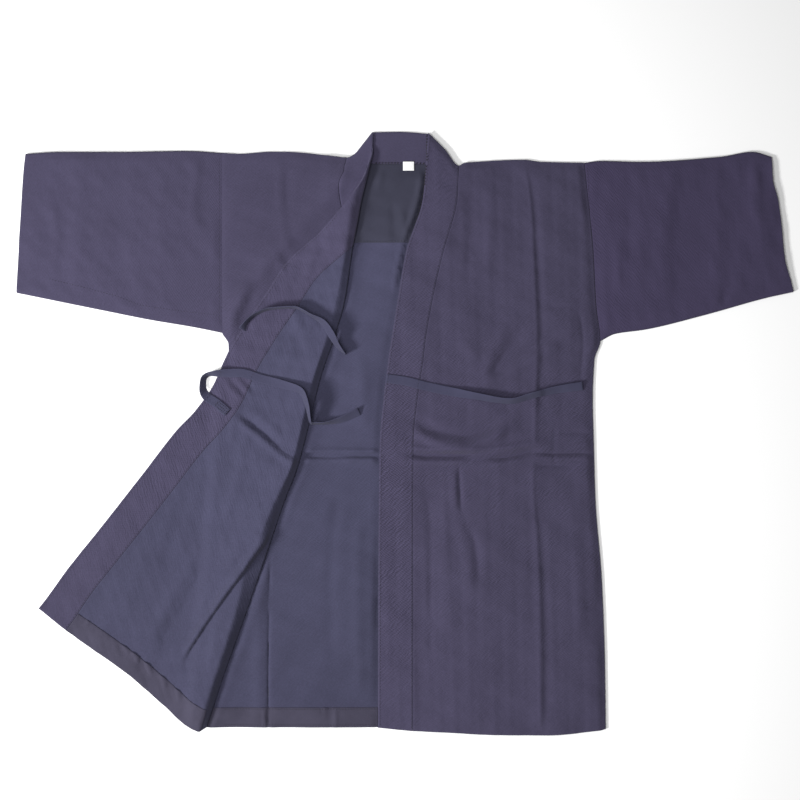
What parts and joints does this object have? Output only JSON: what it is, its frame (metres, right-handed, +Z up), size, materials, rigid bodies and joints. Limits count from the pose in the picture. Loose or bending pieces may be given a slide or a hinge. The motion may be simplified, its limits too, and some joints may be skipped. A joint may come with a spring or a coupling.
{
  "type": "kendo jacket laid flat",
  "caption": "Dark indigo woven cotton kendo jacket, laid flat with its right front turned open, wide sleeves, long collar band and chest ties.",
  "frame": {"origin": "centre of the jacket's outline, on the surface that it lies on", "axes": "+X across the sleeves to the viewer's right, the wearer's left; +Y from the hem to the collar; +Z up from the surface"},
  "size_m": [1.1252, 0.8744, 0.0247],
  "materials": {
    "woven_cotton": "matte, fine diagonal dobby weave",
    "plain_lining": "smooth plain weave, slight sheen",
    "tie_tape": "folded and stitched plain cotton",
    "white_tag": "smooth white woven tag, bare"
  },
  "bodies": {
    "root": {"back_panel": "woven_cotton", "yoke_lining": "plain_lining", "hem_facing_back": "plain_lining", "front_right": "woven_cotton", "hem_facing_front": "plain_lining", "front_left": "woven_cotton", "sleeve_right": "woven_cotton", "sleeve_left": "woven_cotton", "collar_neck": "woven_cotton", "collar_left": "woven_cotton", "collar_right": "woven_cotton", "label": "white_tag", "tie_upper": "tie_tape", "tie_lower": "tie_tape", "tie_left": "tie_tape"}
  },
  "joints": []
}
